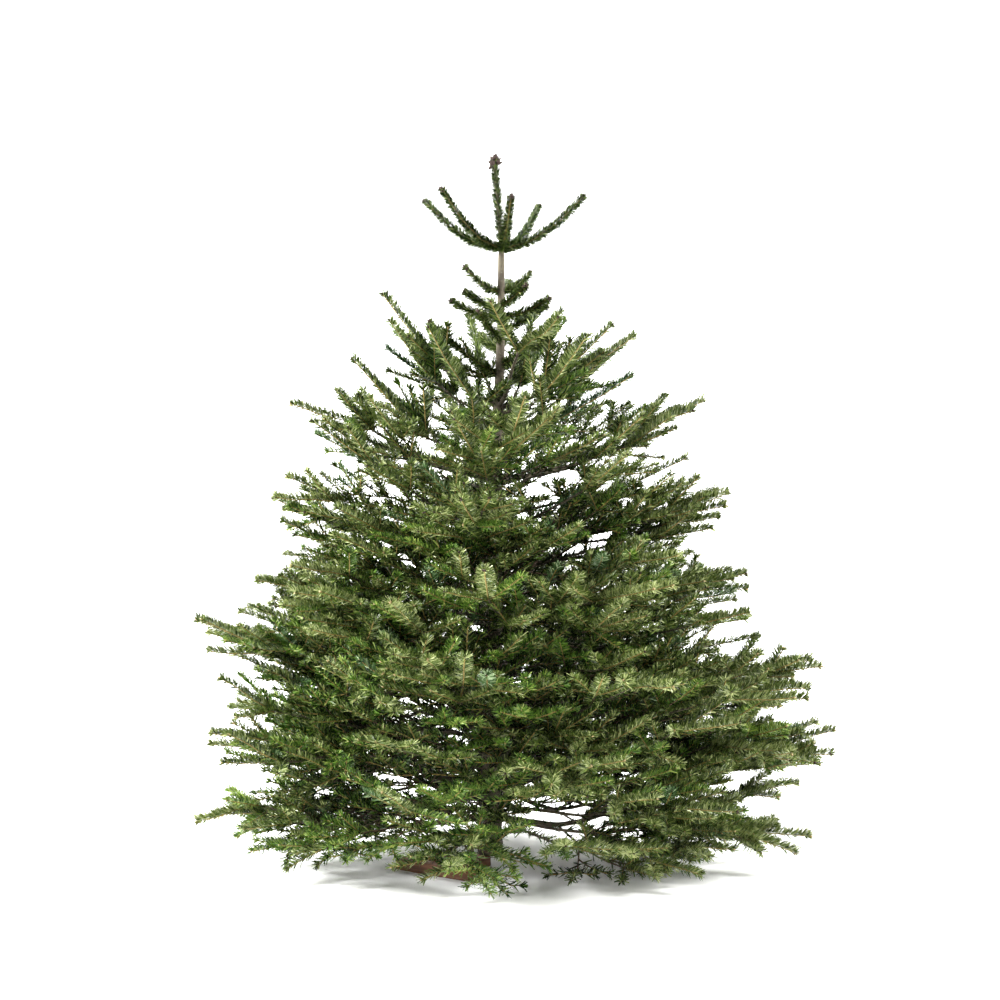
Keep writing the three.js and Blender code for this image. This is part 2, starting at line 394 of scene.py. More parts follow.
def tube(centres, radii, sides, relief=None):
    """Vertices and faces of a closed tube along centres. relief(around, along) is added to each radius."""
    ways = unit(np.gradient(centres, axis=0))
    across = unit(np.cross(ways[0], NEARLY_UP))
    around = np.linspace(0, 2 * math.pi, sides, endpoint=False)
    along = np.concatenate([[0], np.cumsum(np.linalg.norm(np.diff(centres, axis=0), axis=1))])
    rings = []
    for centre, way, radius, run in zip(centres, ways, radii, along):
        across = unit(across - way * np.dot(across, way))
        over = np.cross(way, across)
        reach = np.reshape(radius + (relief(around, run) if relief else 0), (-1, 1))
        spokes = np.cos(around)[:, None] * across * reach + np.sin(around)[:, None] * over * reach
        rings.append(centre + spokes)
    vertices = np.concatenate(rings + [centres[:1], centres[-1:]])
    here = np.arange(sides)
    there = (here + 1) % sides
    faces = []
    for ring in range(len(centres) - 1):
        low, high = ring * sides, (ring + 1) * sides
        faces += np.stack([low + here, low + there, high + there, high + here], 1).tolist()
    last, foot = (len(centres) - 1) * sides, len(centres) * sides
    faces += np.stack([there, here, np.full(sides, foot)], 1).tolist()
    faces += np.stack([last + here, last + there, np.full(sides, foot + 1)], 1).tolist()
    return vertices, faces


def join_shells(name, shells, smooth=True):
    """One mesh of several shells of vertices and faces."""
    vertices, faces, offset = [], [], 0
    for points, polygons in shells:
        vertices.append(points)
        faces += [[index + offset for index in polygon] for polygon in polygons]
        offset += len(points)
    mesh = bpy.data.meshes.new(name)
    mesh.from_pydata(np.concatenate(vertices).tolist(), [], faces)
    mesh.polygons.foreach_set("use_smooth", [smooth] * len(faces))
    mesh.update()
    return mesh


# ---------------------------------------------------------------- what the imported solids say


def corners_of(node):
    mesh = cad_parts[node].data
    flat = np.empty(len(mesh.vertices) * 3, np.float32)
    mesh.vertices.foreach_get("co", flat)
    return flat.reshape(-1, 3).astype(float)


def nodes_like(start):
    return sorted(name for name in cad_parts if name.startswith(start))


def single_shoots():
    """The nodes of the ring round the leader and of the shoots on the bare stem."""
    return nodes_like("top_shoot") + nodes_like("stem_shoot") + nodes_like("low_stem_shoot")


class Stem:
    """The trunk's line and radius by height."""

    def __init__(self):
        corners = corners_of("trunk")
        self.heights = np.unique(corners[:, 2].round(4))
        rings = [corners[np.abs(corners[:, 2] - height) < 1e-3] for height in self.heights]
        self.bows = np.array([(ring[:, 0].min() + ring[:, 0].max()) / 2 for ring in rings])
        self.radii = np.array([np.ptp(ring[:, 0]) / 2 for ring in rings])

    def centre(self, height):
        height = np.asarray(height, float)
        bow = np.interp(height, self.heights, self.bows)
        return np.stack([bow, np.zeros_like(height), height], -1)

    def radius(self, height):
        return np.interp(height, self.heights, self.radii)


@dataclass
class Line:
    """A bough's line from the trunk's middle to its tip. It rises late where its lift is high."""

    foot: np.ndarray
    tip: np.ndarray
    lift: float = 1.45

    def at(self, share):
        share = np.asarray(share, float)[..., None]
        level = (self.tip - self.foot) * (1 - UP)
        return self.foot + level * share + UP * (self.tip - self.foot) * share**self.lift

    @property
    def reach(self):
        return float(np.linalg.norm((self.tip - self.foot)[:2]))

    @property
    def length(self):
        return float(np.linalg.norm(self.tip - self.foot))


def line_of(stem, outer, inner):
    """The line of a bough whose foliage is the solid outer and whose foot shows on the solid inner."""
    near = corners_of(inner)
    away = np.linalg.norm(near[:, :2] - stem.centre(near[:, 2])[:, :2], axis=1)
    height = near[away < away.min() + 0.008, 2].mean()
    foot = stem.centre(height)
    far = corners_of(outer)
    tip = far[np.linalg.norm(far[:, :2] - foot[:2], axis=1).argmax()]
    return Line(foot, tip)


# ---------------------------------------------------------------- growth


def draws(rule, task):
    """The random numbers of one task, which no other task disturbs."""
    return np.random.default_rng(rule.seed + TASKS.index(task))


@dataclass
class Wood:
    """Every season's shoot: its points, and what is known about it."""

    points: np.ndarray
    age: np.ndarray
    order: np.ndarray
    home: np.ndarray
    spray: np.ndarray
    is_round: np.ndarray
    depth: np.ndarray

    def __post_init__(self):
        steps = np.diff(self.points, axis=1)
        self.length = np.linalg.norm(steps, axis=2).sum(1)
        ways = unit(steps)
        self.ways = unit(np.concatenate([ways[:, :1], ways[:, :-1] + ways[:, 1:], ways[:, -1:]], 1))

    def at(self, shoot, along):
        """Place and heading at a share along each of the shoots numbered."""
        spot = np.clip(along, 0, 1) * (NODES_PER_SHOOT - 1)
        step = np.minimum(spot.astype(int), NODES_PER_SHOOT - 2)
        rest = (spot - step)[:, None]
        places = self.points[shoot, step] * (1 - rest) + self.points[shoot, step + 1] * rest
        ways = unit(self.ways[shoot, step] * (1 - rest) + self.ways[shoot, step + 1] * rest)
        return places, ways


class Whorl:
    """The boughs that leave the trunk at one height, and what lies between them."""

    def __init__(self, names, lines):
        steps = np.array([line.tip - line.foot for line in lines])
        self.ways = unit(steps[:, :2])
        self.reaches = np.linalg.norm(steps[:, :2], axis=1)
        self.rises = steps[:, 2]
        self.height = np.mean([line.foot[2] for line in lines])
        self.names = names

    def nearest(self, azimuth):
        """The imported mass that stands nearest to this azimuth."""
        return self.names[int((self.ways @ [math.cos(azimuth), math.sin(azimuth)]).argmax())]

    def at(self, azimuth):
        """Reach and rise of a bough that would stand at this azimuth."""
        near = (self.ways @ [math.cos(azimuth), math.sin(azimuth)] + 1.0) ** 4 + 1e-6
        return np.array([(self.reaches * near).sum(), (self.rises * near).sum()]) / near.sum()


class Grower:
    """Grows shoots season by season, fewer of them where the crown shades itself."""

    def __init__(self, rule, stem, whorls):
        self.rule, self.stem = rule, stem
        self.random = draws(rule, "growth")
        self.shoots = []
        self.sprays = 0
        tips = sorted((whorl.height + whorl.rises.mean(), whorl.reaches.mean()) for whorl in whorls)
        self.tip_heights, self.tip_reaches = np.array(tips + [(stem.heights[-1], 0.03)]).T

    def depth(self, place):
        """How far inside the crown's surface a place lies."""
        out = np.linalg.norm((place - self.stem.centre(place[..., 2]))[..., :2], axis=-1)
        return np.interp(place[..., 2], self.tip_heights, self.tip_reaches) - out

    def free_run(self, start, heading, lengths):
        """Seasons of growth that set out from start along heading, and lift a little as they go."""
        here, way, seasons = start, unit(heading), []
        for length in lengths:
            points = [here]
            for _ in range(NODES_PER_SHOOT - 1):
                way = unit(way + UP * 0.04 * (1 - way[2]) + self.random.normal(0, 0.025, 3))
                here = here + way * length / (NODES_PER_SHOOT - 1)
                here = np.array([here[0], here[1], max(here[2], FLOOR_CLEARANCE)])
                points.append(here)
            seasons.append(np.array(points))
        return seasons

    def branch(self, seasons, home, order, spray, is_round=False):
        """Keeps the seasons of one axis, and grows side shoots from each node along it."""
        rule, random = self.rule, self.random
        lengths = np.array([np.linalg.norm(np.diff(points, axis=0), axis=1).sum() for points in seasons])
        roll = random.normal(0, 0.3)
        for index, points in enumerate(seasons):
            age = len(seasons) - 1 - index
            if order == 1 and index == 0:
                self.sprays += 1
                spray = self.sprays
            self.shoots.append((points, age, order, home, spray, is_round))
            if age == 0 or order >= rule.orders:
                continue
            way = unit(points[-1] - points[-2])
            sides = self.sides_of(way, roll, order == 0 and points[-1, 2] > HIGH_UP)
            self.midway(points, lengths[index], home, order, spray)
            light = self.light_at(points[-1])
            shortest = np.interp(points[-1, 2], [0.8, 1.05], [rule.shortest, HIGH_SHORTEST])
            lift = self.lift_at(points[-1])
            for side, share, spread in sides:
                if random.random() > rule.kept * light:
                    continue
                angle = rule.side_angle * random.normal(1, 0.12) + spread
                heading = way * math.cos(angle) + side * math.sin(angle) + UP * random.normal(lift, 0.13)
                share = share * rule.side_share * random.normal(1, 0.08) * (1 - 0.045 * age)
                later = lengths[index + 1 :] * share
                short = np.nonzero(later < shortest)[0]
                later = later[: short[0]] if len(short) else later
                if len(later):
                    start = points[-1] - way * lengths[index] * random.uniform(0, 0.05)
                    self.branch(self.free_run(start, heading, later), home, order + 1, spray)

    def sides_of(self, way, roll, high):
        """The side shoots at a node: which way each turns, its share of the length and its added angle."""
        random = self.random
        across = unit(np.cross(way, UP))
        across = across * math.cos(roll) + np.cross(way, across) * math.sin(roll)
        above = unit(np.cross(across, way))
        sides = [(across, 1.0, 0.0), (-across, 1.0, 0.0)]
        if random.random() < self.rule.topping:
            sides.append((unit(above + across * random.normal(0, 0.6)), random.uniform(0.45, 0.8), -0.1))
        for turn in HIGH_SIDE_TURNS if high else ():
            side = above * math.cos(turn) + across * math.sin(turn)
            sides.append((side, random.uniform(0.6, 0.85), 0.1))
        return sides

    def light_at(self, place):
        """1 where shoots thrive, and less deep inside the crown."""
        return 1 - 0.85 * min(1, max(0, float(self.depth(place)) / self.rule.light_depth - 1))

    def lift_at(self, place):
        """How far side shoots turn up. The lowest turn down, except in front."""
        front = min(1, max(0, -place[1] / 0.4))
        return self.rule.lift * np.interp(place[2], [0.1, 0.4], [-3 * (1 - front), 1])

    def midway(self, points, length, home, order, spray):
        """Short shoots of the last season, between the nodes. High boughs have none."""
        chance = self.rule.midway * np.interp(points[0, 2], [0.75, 1.0], [1, 0])
        if self.random.random() > chance or float(self.depth(points[-1])) > self.rule.light_depth:
            return
        way = unit(points[-1] - points[0])
        hand = 1 if self.random.random() < 0.5 else -1
        side = unit(np.cross(way, UP)) * hand + UP * self.random.uniform(-0.3, 0.9)
        heading = way * 0.7 + unit(side) * 0.7
        start = points[0] + (points[-1] - points[0]) * self.random.uniform(0.35, 0.75)
        reach = length * self.random.uniform(0.35, 0.6)
        if reach > 0.03:
            (season,) = self.free_run(start, heading, [reach])
            self.shoots.append((season, 0, order + 1, home, spray, False))

    def bough(self, line, home):
        """A bough along its line, its seasons of nearly equal length."""
        season = np.interp(line.foot[2], [0.65, 1.1], [self.rule.season, self.rule.high_season])
        years = max(2, round(line.length / season))
        weights = np.linspace(0.96, 1.04, years) * self.random.uniform(0.92, 1.08, years)
        marks = np.concatenate([[0], np.cumsum(weights)]) / weights.sum() * (1 - BUD_ROOM / line.reach)
        knots = self.random.normal(0, BOUGH_BEND, (years + 1, 3))
        knots[[0, -1]] = 0
        seasons = []
        for index in range(years):
            run = np.linspace(0, 1, NODES_PER_SHOOT)
            share = marks[index] + (marks[index + 1] - marks[index]) * run
            blend = (run * run * (3 - 2 * run))[:, None]
            points = line.at(share) + knots[index] * (1 - blend) + knots[index + 1] * blend
            points[:, 2] = np.maximum(points[:, 2], FLOOR_CLEARANCE)
            seasons.append(points)
        self.branch(seasons, home, 0, 0)

    def single(self, line, home):
        """One season's shoot, with needles all round."""
        share = np.linspace(0.02, 1 - 0.008 / line.reach, NODES_PER_SHOOT)
        self.branch([line.at(share)], home, 0, 0, is_round=True)

    def wood(self):
        points, age, order, home, spray, is_round = map(np.array, zip(*self.shoots))
        depth = self.depth(points[:, -1])
        return Wood(points, age, order, home, spray, is_round, depth)


def under_bough(line):
    """The line of a second bough, a little shorter, that fills the lower side of a mass."""
    drop = UNDER_DROP * line.reach
    return Line(line.foot - UP * 0.03, line.at(0.96) - UP * drop, UNDER_LIFT)


def near_forks(line):
    """Lines that leave a bough beyond its middle and end beside its tip."""
    forks = []
    for side in (-1, 1):
        step = (line.tip - line.foot) * (1 - UP)
        tip = line.foot + step * 0.97 + np.cross(UP, step) * TIP_TURN * side
        tip[2] = line.tip[2] - UNDER_DROP * line.reach * (0.25 - 0.35 * side)
        forks.append(Line(line.at(0.55), tip, FORK_LIFT))
    return forks


def forks_of(name, line):
    """Lines that leave a bough a third of the way out and end at the two outer corners of its foliage."""
    corners = corners_of(name)
    steps = corners - line.foot
    ahead = unit((line.tip - line.foot) * (1 - UP))
    turns = np.arctan2(steps @ np.cross(UP, ahead), steps @ ahead)
    forks = []
    for side in (-1, 1):
        outer = corners[np.abs(turns * side - FORK_TURN) < FORK_TURN * 0.45]
        tip = outer[np.linalg.norm((outer - line.foot)[:, :2], axis=1).argmax()]
        forks.append(Line(line.at(0.36), tip, FORK_LIFT))
    return forks


def tier_of(name):
    return int(name.split("_")[1])


def toward(azimuth, reach, rise):
    """The step from a bough's foot to its tip."""
    return np.array([math.cos(azimuth) * reach, math.sin(azimuth) * reach, rise])


def grow_whorls(grower, lines):
    """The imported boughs, and the further boughs that fill out each one's foliage."""
    for name, line in lines.items():
        grower.bough(line, name)
    for name, line in lines.items():
        tier = tier_of(name)
        if tier == 1:
            continue
        for fork in forks_of(name, line) + (near_forks(line) if tier in DENSE_TIERS else []):
            grower.bough(fork, name)
        if tier in DENSE_TIERS:
            grower.bough(under_bough(line), name)


def grow_between(grower, whorls, turns):
    """Boughs that stand between the whorls. They hold to the crown's surface, a little inside it."""
    random = grower.random
    for above, below in zip(whorls, whorls[1:]):
        low = 1 - below.height / whorls[0].height
        reach = (below.reaches.mean() + above.reaches.mean()) / 2
        thinned = 0.55 if below is whorls[-1] else 1
        count = round(grower.rule.between * (above.height - below.height) * reach * thinned)
        for index in range(count):
            share = 0.08 + 0.84 * (index + random.uniform(0.2, 0.8)) / count
            azimuth = next(turns) + random.normal(0, 0.15)
            reach, rise = above.at(azimuth) * share + below.at(azimuth) * (1 - share)
            reach *= random.uniform(0.74 + 0.16 * low, 0.95 + 0.07 * low)
            rise += random.normal(0, 0.035)
            foot = grower.stem.centre(below.height + (above.height - below.height) * share)
            grower.bough(Line(foot, foot + toward(azimuth, reach, rise)), below.nearest(azimuth))


def grow_sagging(grower, lowest, turns):
    """Boughs that arch over and sag under the lowest whorl, least in front."""
    random = grower.random
    for _ in range(grower.rule.sagging):
        azimuth = next(turns) + random.normal(0, 0.1)
        reach, _ = lowest.at(azimuth) * random.uniform(0.72, 1.0)
        foot = grower.stem.centre(random.uniform(0.09, 0.22))
        tip = foot + toward(azimuth, reach, 0)
        tip[2] = random.uniform(0.03, 0.06) + 0.5 * reach * max(0, -math.sin(azimuth) - 0.6)
        grower.bough(Line(foot, tip, ARCHED), lowest.nearest(azimuth))


def grow_on_stem(grower, highest, turns):
    """Small single shoots on the bare stem, longer towards its foot."""
    random, count = grower.random, grower.rule.on_stem
    low, high = highest.height + 0.03, highest.height + 0.29
    for index in range(count):
        share = (index + random.uniform(0.2, 0.8)) / count
        reach = (0.17 - 0.08 * share) * random.uniform(0.8, 1.15)
        foot = grower.stem.centre(low + (high - low) * share)
        tip = foot + toward(next(turns), reach, reach * random.uniform(0.3, 0.75))
        grower.single(Line(foot, tip, 1.25), "leader_foliage")


def grow_top(grower):
    """The last season's single shoots: the leader, the ring round it, and those packed on the bare stem."""
    stem = grower.stem
    foot = corners_of("leader_foliage")[:, 2].min()
    heights = np.linspace(foot, stem.heights[-1] - LEADER_BUDS, NODES_PER_SHOOT)
    grower.branch([stem.centre(heights)], "leader_foliage", 0, 0, is_round=True)
    for name in single_shoots():
        line = line_of(stem, name, name)
        grower.single(Line(stem.centre(line.foot[2]), line.tip, ARCHED), name)


def grow_tree(rule):
    """The whole tree's shoots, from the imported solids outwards."""
    stem = Stem()
    lines = {}
    for name in nodes_like("foliage_"):
        limb = name.replace("foliage", "bough")
        lines[name] = line_of(stem, name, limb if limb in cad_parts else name)
    whorls = []
    for tier in sorted({tier_of(name) for name in lines}):
        names = [name for name in lines if tier_of(name) == tier]
        whorls.append(Whorl(names, [lines[name] for name in names]))
    grower = Grower(rule, stem, whorls)
    turns = accumulate(repeat(NEXT_TURN))
    grow_whorls(grower, lines)
    grow_between(grower, whorls, turns)
    grow_sagging(grower, whorls[-1], turns)
    grow_on_stem(grower, whorls[0], turns)
    grow_top(grower)
    return stem, grower.wood(), lines


# ---------------------------------------------------------------- finishes


FAMILIES = ("vivid", "olive", "silver")
VIVID, OLIVE, SILVER = range(len(FAMILIES))
# The shades stand for the needles' own tone by age and for painted shade alike.
SHADES = {"_light": 0.5, "": 0.35, "_dark": 0.15}  # and how much each shines


def needle_materials(needles):
    """Ten plain finishes: three shades of three families, and one for old needles and for the painted shade
    deep in the crown.
    """
    shines = {family + shade: shine for family in FAMILIES for shade, shine in SHADES.items()}
    made = []
    for name, shine in {**shines, "old": 0.05}.items():
        finish = {"Base Color": (*getattr(needles, name), 1), "Roughness": 0.36, "Specular IOR Level": shine}
        made.append(shader(f"needle_{name}", lambda graph, finish=finish: finish))
    return made


def plain_shader(name, base, roughness):
    return shader(name, lambda graph: {"Base Color": (*base, 1), "Roughness": roughness})


def bark_shader(wood):
    """Smooth grey-brown bark with pale blisters, dark cross scars and a fine grain."""

    def finish(graph):
        place = graph.node("ShaderNodeTexCoord", {}, {}, "Object")
        across = graph.node("ShaderNodeMapping", {}, {"Vector": place, "Scale": (1.0, 1.0, 5.0)})
        mottle = graph.noise(place, 26.0, 4.0).between(0.42, 0.64)
        scars = graph.noise(across, 60.0, 3.0).between(0.56, 0.66)
        specks = graph.noise(place, 240.0, 2.0).between(0.6, 0.72)
        grain = graph.noise(place, 420.0, 3.0)
        base = graph.mix(mottle * 0.7, wood.bark, wood.bark_dark)
        base = graph.mix(specks * 0.6, base, wood.bark_pale)
        base = graph.mix(scars * 0.75, base, wood.bark_dark)
        height = grain * 0.35 + specks * 0.5 - scars * 0.8
        bump = graph.node("ShaderNodeBump", {}, {"Strength": 0.6, "Distance": 0.0012, "Height": height})
        return {"Base Color": base, "Roughness": 0.86 - specks * 0.15, "Normal": bump}

    return shader("fir_bark", finish)


def plank_shader(stand):
    """Stained softwood, its grain along the plank."""

    def finish(graph):
        place = graph.node("ShaderNodeUVMap", {"uv_map": "grain"}, {})
        along = graph.node("ShaderNodeMapping", {}, {"Vector": place, "Scale": (3.0, 60.0, 1.0)})
        fine = graph.node("ShaderNodeMapping", {}, {"Vector": place, "Scale": (18.0, 420.0, 1.0)})
        rings = graph.noise(along, 1.6, 4.0).between(0.38, 0.66)
        fibres = graph.noise(fine, 1.0, 3.0)
        base = graph.mix(rings * 0.8, stand.plank, stand.plank_dark)
        base = graph.mix(fibres.between(0.5, 0.75) * 0.45, base, stand.plank_dark)
        height = fibres - rings * 0.4
        bump = graph.node("ShaderNodeBump", {}, {"Strength": 0.5, "Distance": 0.0008, "Height": height})
        return {"Base Color": base, "Roughness": 0.62 + fibres * 0.2, "Normal": bump}

    return shader("stained_plank", finish)


def nail_shader(stand):
    """Dull zinc with brown specks of rust."""

    def finish(graph):
        place = graph.node("ShaderNodeTexCoord", {}, {}, "Object")
        rust = graph.noise(place, 900.0, 3.0).between(0.52, 0.66)
        base = graph.mix(rust, stand.nail, stand.plank_dark)
        return {"Base Color": base, "Metallic": 0.9 - rust * 0.8, "Roughness": 0.4 + rust * 0.4}

    return shader("nail_zinc", finish)


# ---------------------------------------------------------------- pieces


def trunk_mesh(stem, lines, rule):
    """The trunk with its blisters, its collars at the whorls and its ribs above the cut."""
    random = draws(rule, "trunk")
    foot, top = stem.heights[0], stem.heights[-1]
    thin = top - 0.22  # the leader needs fewer rings
    heights = np.concatenate([np.arange(foot, thin, 0.004), np.arange(thin, top, 0.008), [top]])
    turns = random.uniform(0, 2 * math.pi, BLISTERS)
    spots = np.stack([turns, random.uniform(0, top - foot, BLISTERS)], 1)
    tall = random.uniform(0.0003, 0.0009, BLISTERS)
    whorls = np.array(sorted({round(line.foot[2], 2) for line in lines.values()})) - foot

    def relief(around, run):
        share = run / (top - foot)
        near = np.abs(spots[:, 1] - run) < 0.012
        rise = np.zeros_like(around)
        for (angle, level), high in zip(spots[near], tall[near]):
            turn = np.abs((around - angle + math.pi) % (2 * math.pi) - math.pi)
            rise += high * np.exp(-((turn / 0.22) ** 2) - ((level - run) / 0.004) ** 2)
        swing = np.sin(around * 7 + 3 * math.sin(run * 19)) * (1 + math.sin(run * 61))
        ribs = 0.0009 * max(0, 0.5 - share) * swing
        collar = 0.0022 * np.exp(-((whorls - run) / 0.012) ** 2).sum() * (1 - share)
        ring = 0.0004 * math.sin(run * 700) * np.exp(-((whorls - run) / 0.018) ** 2).sum()
        return rise * (1 - 0.7 * share) + ribs + collar + ring

    return join_shells("trunk_bark", [tube(stem.centre(heights), stem.radius(heights), 36, relief)])


def main_axes(wood):
    """The shoots of each bough's own axis, in order from the trunk."""
    axes, current = [], []
    for index in np.nonzero((wood.order == 0) & ~wood.is_round)[0]:
        if current and wood.age[index] != wood.age[current[-1]] - 1:
            axes.append(current)
            current = []
        current.append(index)
    return axes + [current]


def bough_mesh(stem, wood, rule, whorl_boughs):
    """Tubes of bark along each bough, up to its last season. The whorls' own come first and are stouter."""
    random = draws(rule, "boughs")
    shells = []
    axes = main_axes(wood)
    stout = {axis[0] for axis in axes[:whorl_boughs]}
    for axis in axes:
        path = np.concatenate([wood.points[axis[0]]] + [wood.points[index][1:] for index in axis[1:-1]])
        runs = np.concatenate([[0], np.cumsum(np.linalg.norm(np.diff(path, axis=0), axis=1))])
        if runs[-1] < 0.03:
            continue
        samples = np.append(np.arange(0, runs[-1], BOUGH_STEP), runs[-1])
        centres = np.stack([np.interp(samples, runs, places) for places in path.T], 1)
        total = wood.length[axis].sum()
        base = (0.0018 + 0.0058 * total) * (1 if axis[0] in stout else THIN_BOUGH)
        radii = base * (1 - samples / total) ** 0.9 + 0.0013
        radii *= 1 + 0.35 * np.exp(-np.maximum(samples - stem.radius(path[0, 2]), 0) / 0.012)
        phase = random.uniform(0, 6.28)

        def relief(around, run, base=base, phase=phase):
            broad = np.sin(around * 3 + phase + run * 40)
            narrow = np.sin(around * 5 - run * 130)
            return 0.05 * base * broad + 0.03 * base * narrow

        shells.append(tube(centres, radii, BOUGH_SIDES, relief))
    return join_shells("bough_bark", shells)


def twig_mesh(wood, settings, materials):
    """Tubes for every shoot that isn't a bough's own older wood."""
    keep = np.nonzero((wood.order > 0) | (wood.age == 0) | wood.is_round)[0]
    points = wood.points[keep].reshape(-1, 3)
    first = np.arange(len(keep))[:, None] * NODES_PER_SHOOT
    steps = np.arange(NODES_PER_SHOOT - 1)
    edges = np.stack([first + steps, first + steps + 1], -1).reshape(-1, 2)
    taper = np.linspace(0, 0.8, NODES_PER_SHOOT)
    girth = settings.twig_radius + settings.yearly_gain * np.maximum(wood.age[keep][:, None] + 0.8 - taper, 0)
    girth = girth * np.where(wood.is_round[keep], 1.5, 1)[:, None]
    years = np.repeat(np.minimum(wood.age[keep], 1), NODES_PER_SHOOT)
    source = loose_mesh("twig_lines", points, edges, girth=("f", girth), years=("i", years))

    wanted = [("Sides", "NodeSocketInt", 4), ("Thickness", "NodeSocketFloat", 1.0)]
    graph, inputs = geometry_tree("Twigs", wanted)
    curve = graph.node("GeometryNodeMeshToCurve", {}, {"Mesh": inputs["Geometry"]})
    ring = graph.node("GeometryNodeCurvePrimitiveCircle", {}, {"Resolution": inputs["Sides"], "Radius": 1.0})
    scale = attribute(graph, "girth", "FLOAT") * inputs["Thickness"]
    sockets = {"Curve": curve, "Profile Curve": ring, "Scale": scale, "Fill Caps": True}
    tubes = graph.node("GeometryNodeCurveToMesh", {}, sockets)
    close_tree(graph, tubes, materials, "years")
    return grown_mesh("twigs", source, graph.tree, {"Sides": 3, "Thickness": 1.0})


def quaternions(across, along, over):
    """Rotations that turn X, Y and Z into these unit vectors, as w, x, y, z."""
    turn = np.stack([across, along, over], -1)
    diagonal = np.stack([turn[:, 0, 0], turn[:, 1, 1], turn[:, 2, 2]], 1)
    signs = np.array([[1, 1, 1], [1, -1, -1], [-1, 1, -1], [-1, -1, 1]])
    sizes = np.sqrt(np.maximum(1 + diagonal @ signs.T, 1e-12)) / 2
    off = turn - turn.transpose(0, 2, 1)
    both = turn + turn.transpose(0, 2, 1)
    w, x, y, z = sizes.T
    ways = np.stack(
        [
            np.stack([w, off[:, 2, 1] / (4 * w), off[:, 0, 2] / (4 * w), off[:, 1, 0] / (4 * w)], 1),
            np.stack([off[:, 2, 1] / (4 * x), x, both[:, 0, 1] / (4 * x), both[:, 0, 2] / (4 * x)], 1),
            np.stack([off[:, 0, 2] / (4 * y), both[:, 0, 1] / (4 * y), y, both[:, 1, 2] / (4 * y)], 1),
            np.stack([off[:, 1, 0] / (4 * z), both[:, 0, 2] / (4 * z), both[:, 1, 2] / (4 * z), z], 1),
        ],
        1,
    )
    return ways[np.arange(len(turn)), sizes.argmax(1)]


def needle_tints(wood, shoot, along, rule):
    """Each needle's colour: a family for its spray, by chance and by the tree's side, a shade by age, lighter
    towards young tips, and painted shade deep in the crown and high up.
    """
    random = draws(rule, "tints")
    tip = wood.points[:, -1]
    left = np.clip(0.5 - tip[:, 0] / 1.2, 0, 1)
    low = np.clip(1 - tip[:, 2] / 1.3, 0, 1)
    by_spray = random.random(wood.spray.max() + 1)[wood.spray] * 0.7 + random.random(len(wood.age)) * 0.3
    vivid = by_spray < 0.2 + 0.42 * left * (0.4 + 0.6 * low)
    silver = by_spray > 0.87
    family = np.where(vivid, VIVID, np.where(silver, SILVER, OLIVE))
    family = np.where(wood.is_round, OLIVE, family)
    shoot_shade = random.normal(0, 0.18, len(wood.age))
    by_age = np.interp(wood.age, [0, 1, 2, 3, 5], [0.75, 1.0, 1.25, 1.6, 2.1])
    # painted shade: needles deep in the crown take darker shades
    by_depth = np.clip(wood.depth / 0.3, 0, 1) * 0.7
    shade = (by_age + by_depth + shoot_shade)[shoot] + random.normal(0, 0.6, len(shoot))
    shade -= np.where(wood.age[shoot] == 0, np.interp(along, [0.75, 1.0], [0.0, 0.15]), 0)
    # painted shade: darker shades high up and on the single shoots at the top, which the crown doesn't shade
    high = np.interp(wood.points[:, -1, 2], [1.0, 1.3, 1.42, 1.5], [0, 0.35, 0.35, 1.1])
    shade += np.where(wood.is_round | (high < 0.36), high, 0)[shoot]
    old = len(SHADES)
    level = np.clip(np.round(shade), 0, old).astype(int)
    return np.where(level == old, len(FAMILIES) * old, family[shoot] * old + level)


def needle_crowding(wood):
    """How densely each shoot stands in needles: old wood and deep wood thinly, the crown's surface most."""
    height = wood.points[:, -1, 2]
    by_age = np.interp(wood.age, [0, 1, 2, 3, 5, 7], [1.0, 1.0, 0.85, 0.65, 0.35, 0.2])
    by_depth = np.interp(wood.depth, [0.05, 0.14, 0.25, 0.4], [1.3, 0.85, 0.45, 0.2])
    low = np.interp(height, [0.06, 0.3], [0.35, 1.0])
    high = np.interp(height, [1.0, 1.15], [1.0, 1.5])
    outermost = np.interp(wood.depth, [0.02, 0.09], [1.5, 1.0])
    by_place = np.where(wood.age > 0, low, np.maximum(high, outermost))
    return np.where(wood.is_round, SINGLE_CROWDING, by_age * by_depth * by_place)


